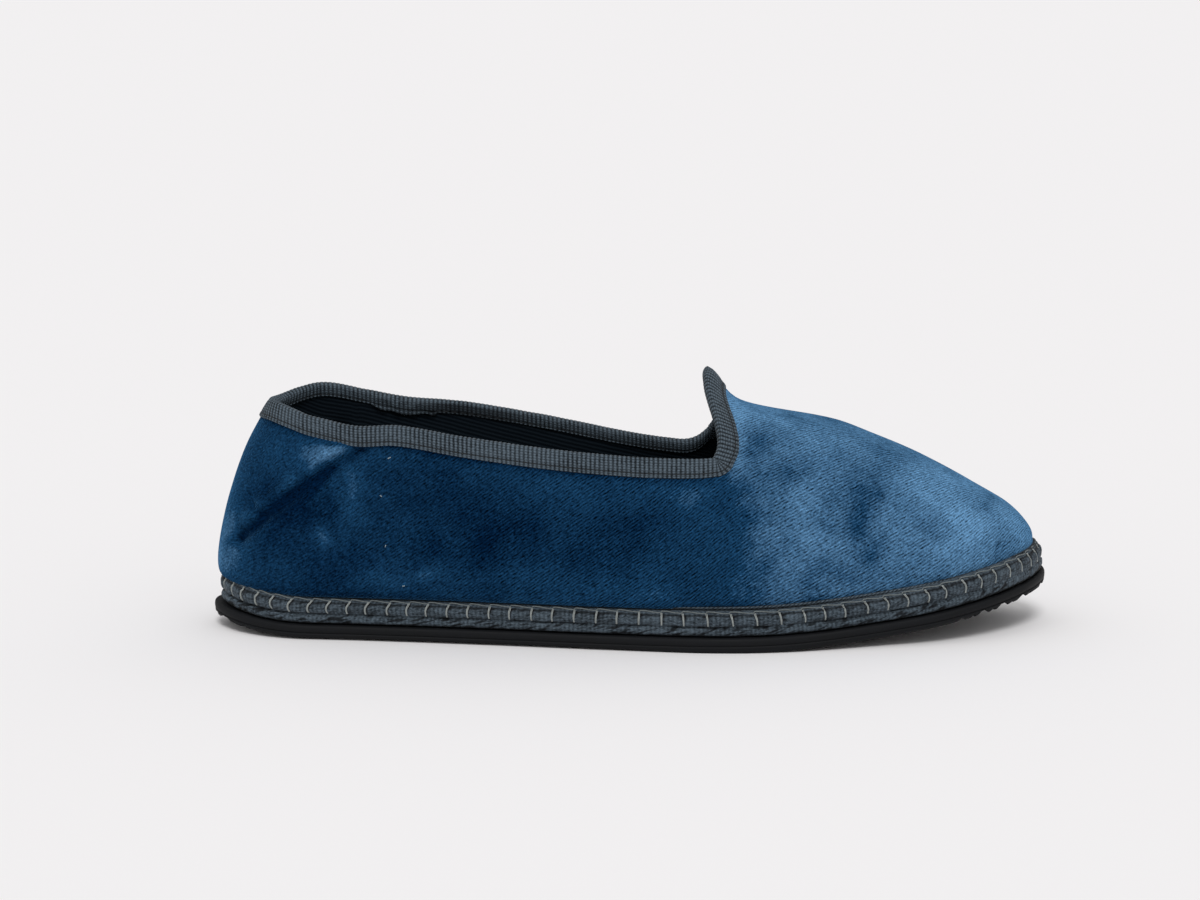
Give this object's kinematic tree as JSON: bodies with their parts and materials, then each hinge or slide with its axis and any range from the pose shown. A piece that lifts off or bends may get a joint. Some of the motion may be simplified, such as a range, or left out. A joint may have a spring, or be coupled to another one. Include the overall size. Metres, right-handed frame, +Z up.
{
  "type": "friulana slipper",
  "caption": "Right-foot cloth slipper with a velvet upper pointed at the instep, a taped collar, a stitched textile sole and a ribbed rubber outsole.",
  "frame": {"origin": "on the floor, under the middle of the shoe's bounding box", "axes": "+X from heel to toe, +Y to the inner (medial) side of the right foot, +Z up"},
  "size_m": [0.266, 0.0874, 0.083],
  "materials": {
    "velvet": "deep blue cotton velvet with a short pile",
    "collar_tape": "slate grey grosgrain tape",
    "sole_tape": "slate grey ribbed tape, blanket-stitched",
    "lining": "near-black cotton twill",
    "rubber": "matt black moulded rubber"
  },
  "bodies": {
    "root": {"upper": "velvet", "collar_binding": "collar_tape", "welt": "sole_tape", "midsole": "sole_tape", "insole": "lining", "outsole": "rubber"}
  },
  "joints": []
}
